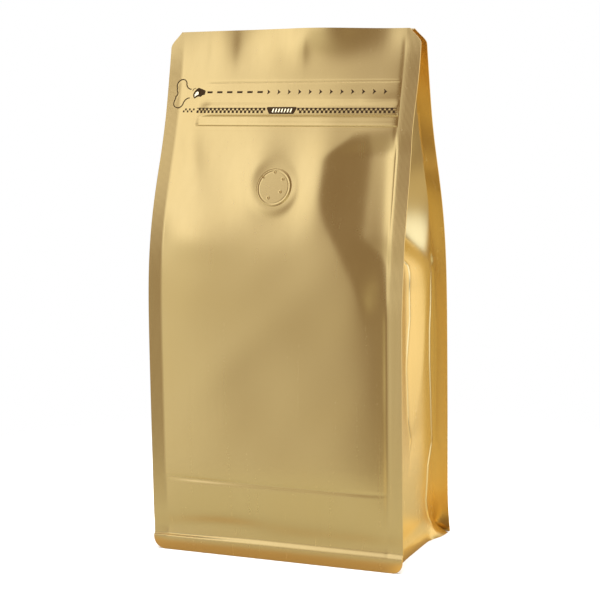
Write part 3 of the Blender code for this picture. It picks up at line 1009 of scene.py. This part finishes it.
def bandGrid(low, high):
    # grid over part of the zip's or the tear strip's band, finer at its ends, and its rise over the film
    left, right = zipForm["left"], zipForm["right"]
    leftEnd, rightEnd = left + zipForm["fineEnds"][0], right - zipForm["fineEnds"][1]
    first, middle, last = zipForm["columns"]
    x = np.concatenate([
        np.linspace(left, leftEnd, first)[:-1],
        np.linspace(leftEnd, rightEnd, middle),
        np.linspace(rightEnd, right, last)[1:],
    ])
    z = np.linspace(low, high, zipForm["rows"])
    wide, tall = np.meshgrid(x, z)
    wide, tall = wide.ravel(), tall.ravel()
    points = np.stack([wide, tall + bandShift(wide)], -1)
    return points, gridFaces(len(z), len(x)), zipRelief(wide, tall)


def makeZip(material):
    points, faces, rise = bandGrid(zipForm["profile"][0][0], zipForm["seam"])
    track = addPiece("zipTrack", *onSkin(points, faces, rise, filmY), material)
    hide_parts("zip_track")


# Pull tab at the left end of the tear strip: a bone-shaped plate with a neck to the right
pullTab = {
    "middle": (-0.0600, 0.2326),
    "lobe": (0.0027, 0.0045),  # radius, and distance above or below the middle
    "lean": 0.10,
    "neck": (0.0022, 0.0105),  # half height and end
    "bend": 1.15,  # radius of the bend between lobe and neck, in radii of the lobe
    "waist": (1.25, 0.42),  # bend between the lobes: how far left its middle is, and its radius
    "rise": (0.00002, 0.00005),  # least, and what is added inside the edge
    "edge": (-0.0001, 0.0004),  # distances from the outline between which that is added
    "meshStep": 0.0007,
}


def tabOutline(neckEnd):
    # anticlockwise from the lower edge of the neck's end
    radius, away = pullTab["lobe"]
    half = pullTab["neck"][0]
    bend = radius * pullTab["bend"]
    left, waist = pullTab["waist"]
    outline = [(neckEnd, -half), (neckEnd, half)]
    outline += arc(radius + bend, half + bend, bend, 270, 200, 8)
    outline += arc(0, away, radius, -5, 210)
    outline += arc(-radius * left, 0, away * waist, 50, -50, 8)
    outline += arc(0, -away, radius, 150, 365)
    outline += arc(radius + bend, -half - bend, bend, 160, 90, 8)
    x, z = pullTab["middle"]
    return [(x + across + pullTab["lean"] * up, z + up) for across, up in outline]


def makeTearStrip(material):
    points, faces, rise = bandGrid(zipForm["seam"], zipForm["profile"][-1][0])
    band = onSkin(points, faces, rise, filmY)
    outline = tabOutline(pullTab["neck"][1])
    points, faces = filled(outline, pullTab["meshStep"])
    least, added = pullTab["rise"]
    inside = np.array([clearance(outline, x, z) for x, z in points])
    tab = onSkin(points, faces, added * smoothStep(inside, *pullTab["edge"]) + least, filmY)
    strip = addPiece("tearStrip", *joined([band, tab]), material)
    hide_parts("tear_strip")


def valveRise(x, z):
    across, up = x - valve["middle"][0], z - valve["middle"][1]
    rise = np.interp(np.hypot(across, up), *zip(*valve["profile"]))
    radius, depth, lip = valve["pin"]
    lipRadius, lipWidth = valve["pinLip"]
    for pinX, pinZ in valve["pins"]:
        away = np.hypot(across - pinX, up - pinZ)
        hole = depth * np.exp(-((away / radius) ** 4))
        rise = rise - hole + lip * hump(away, radius * lipRadius, radius * lipWidth)
    return rise


def makeValve(material):
    radii = np.linspace(0, valve["radius"], valve["rings"] + 1)[1:, None]
    angles = np.linspace(0, 2 * math.pi, valve["turns"], endpoint=False)[None, :]
    x = valve["middle"][0] + radii * np.cos(angles)
    z = valve["middle"][1] + radii * np.sin(angles)
    points = np.concatenate([[valve["middle"]], np.stack([x.ravel(), z.ravel()], -1)])
    index = np.arange(x.size).reshape(x.shape) + 1
    ahead = np.roll(index, -1, 1)
    faces = np.stack([index[:-1], index[1:], ahead[1:], ahead[:-1]], -1).reshape(-1, 4).tolist()
    faces += [(0, a, b) for a, b in zip(index[0], ahead[0])]
    faces = [tuple(int(corner) for corner in face) for face in faces]
    verts, faces = onSkin(points, faces, valveRise(points[:, 0], points[:, 1]), filmY)
    disc = addPiece("valveCap", verts, faces, material)
    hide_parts("valve")


# Print on the front: plain marks in dark ink. Heights are measured along the band, before its tilt
marks = {
    "lift": 0.00004,
    "tabLift": 0.00011,
    "sink": 0.0001,
    "meshStep": 0.0008,
    # Checked tape: foot, cell height, cell width, and how much larger a printed cell is
    "tape": (0.2228, 0.00128, 0.00115),
    "cellSpread": (1.1, 1.05),
    "tapeEnds": (-0.0494, 0.0582),
    "tapeLine": (0.00032, 100),  # height of the line along its top, and points along it
    # Looser cells left of it: their ends, width, height and row height in cells, and lift
    "dotEnds": (-0.0574, -0.0503),
    "dots": (0.8, 0.75, 0.8, 0.0003),
    "label": (-0.0095, 0.0067, 0.2224, 0.2258),  # left, right, foot, top
    "labelCut": (0.0012, 0.0005),  # slant of its ends, and cut corners
    "bars": (0.0030, 0.0016, 7),  # first, from the label's left end, pitch and count
    "barSize": (0.0007, 0.0009, 0.0005),  # width, half height, slant
    "arrows": (-0.0106, 0.00557, 12, 0.2332),  # first, pitch, count, height
    "arrowSize": (0.0017, 0.00128, 0.18),  # length, half height, notch as a share of the length
    "dashes": (-0.0443, -0.0131, 6, 0.2332),  # from, to, count, height
    "dashSize": (0.0030, 0.00050),  # length, half height
    "line": 0.00050,
}


def cell(left, foot, width, height):
    right, top = left + width, foot + height
    return [(left, foot), (right, foot), (right, top), (left, top)], [(0, 1, 2, 3)]


def tilted(points):
    return [(x, z + bandShift(x)) for x, z in points]


def printPiece(name, shapes, material, lift):
    plates = [onSkin(tilted(points), faces, lift, sink=marks["sink"]) for points, faces in shapes]
    addPiece(name, *joined(plates), material)


def tapeCells():
    foot, height, width = marks["tape"]
    wider, taller = marks["cellSpread"]
    start, end = marks["tapeEnds"]
    left, right = marks["label"][:2]
    cells = []
    for i in range(int((end - start) / width)):
        x = start + i * width
        if not left - width < x < right:
            cells.append(cell(x, foot + (i % 2) * height, width * wider, height * taller))
    thick, count = marks["tapeLine"]
    steps = np.linspace(start, end, count)
    low = foot + 2 * height - thick
    cells += [cell(x, low, steps[1] - start, thick) for x in steps[:-1] if not left - width < x < right]
    start, end = marks["dotEnds"]
    wide, tall, row, lift = marks["dots"]
    for i in range(int((end - start) / width)):
        low = foot + (i % 2) * height * row + lift
        cells.append(cell(start + i * width, low, width * wide, height * tall))
    return cells


def labelShape():
    left, right, foot, top = marks["label"]
    slant, corner = marks["labelCut"]
    outline = [
        (left + slant + corner, foot), (right - slant - corner, foot), (right - slant, foot + corner),
        (right, top - corner), (right - corner, top), (left + corner, top), (left, top - corner),
        (left + slant, foot + corner),
    ]
    return filled(outline, marks["meshStep"])


def labelBars():
    # a row of slanted bars, like the teeth of a zip
    left, _, foot, top = marks["label"]
    first, pitch, count = marks["bars"]
    width, half, slant = marks["barSize"]
    low, high = (foot + top) / 2 - half, (foot + top) / 2 + half
    starts = [left + first + i * pitch for i in range(count)]
    return [
        ([(x, low), (x + width, low), (x + width + slant, high), (x + slant, high)], [(0, 1, 2, 3)])
        for x in starts
    ]


def arrowShapes():
    first, pitch, count, height = marks["arrows"]
    length, half, notch = marks["arrowSize"]
    shapes = []
    for i in range(count):
        x = first + i * pitch
        tip, back = (x + length, height), (x + length * notch, height)
        shapes.append(([tip, (x, height + half), back, (x, height - half)], [(0, 1, 2), (0, 2, 3)]))
    return shapes


def dashShapes():
    start, end, count, height = marks["dashes"]
    length, half = marks["dashSize"]
    pitch = (end - start - length) / (count - 1)
    return [cell(start + i * pitch, height - half, length, 2 * half) for i in range(count)]


# A hand that pinches the tab: a fist, a pale finger inside it, and the line of a second one
handMark = {
    "fist": [
        (-0.04897, 0.23530), (-0.04657, 0.23450), (-0.04550, 0.23405), (-0.04580, 0.23203),
        (-0.04700, 0.23178), (-0.04820, 0.23100), (-0.04980, 0.23112), (-0.05160, 0.23010),
        (-0.05225, 0.23080), (-0.05260, 0.23200), (-0.05200, 0.23350), (-0.05075, 0.23490),
        (-0.04960, 0.23550),
    ],
    "finger": [
        (-0.05150, 0.23090), (-0.05165, 0.23190), (-0.05100, 0.23300), (-0.05005, 0.23365),
        (-0.04945, 0.23310), (-0.04955, 0.23215), (-0.05040, 0.23180),
    ],
    "knuckle": [(-0.05300, 0.23380), (-0.05290, 0.23450), (-0.05240, 0.23500), (-0.05150, 0.23530)],
    "knuckleLine": 0.5,  # its width, as a share of the tab's line
    "neckLine": 0.0055,
    "meshStep": 0.0006,
}


def makePrint(dark, pale):
    lift, tabLift, line = marks["lift"], marks["tabLift"], marks["line"]
    printPiece("tapePrint", tapeCells() + [labelShape()], dark, lift)
    printPiece("labelTeeth", labelBars(), pale, lift * 2)
    printPiece("arrowPrint", arrowShapes() + dashShapes(), dark, lift)
    tabEdge = tabOutline(handMark["neckLine"])
    fist, finger = [filled(handMark[name][::-1], handMark["meshStep"]) for name in ("fist", "finger")]
    knuckle = ribbon(handMark["knuckle"], line * handMark["knuckleLine"])
    printPiece("tabPrint", [ribbon(tabEdge[1:] + tabEdge[:1], line), knuckle, fist], dark, tabLift)
    printPiece("handFinger", [finger], pale, tabLift + lift)


makeCamera()
makeWorld()
makeFloor()
makeLights()
filmGold = goldFoil("filmGold", foil["roughness"])
makeFilm(filmGold)
makeZip(filmGold)
makeTearStrip(filmGold)
makeValve(filmGold)
makePrint(inkMaterial("darkInk", ink["dark"]), inkMaterial("paleInk", ink["pale"]))
print("bag made")
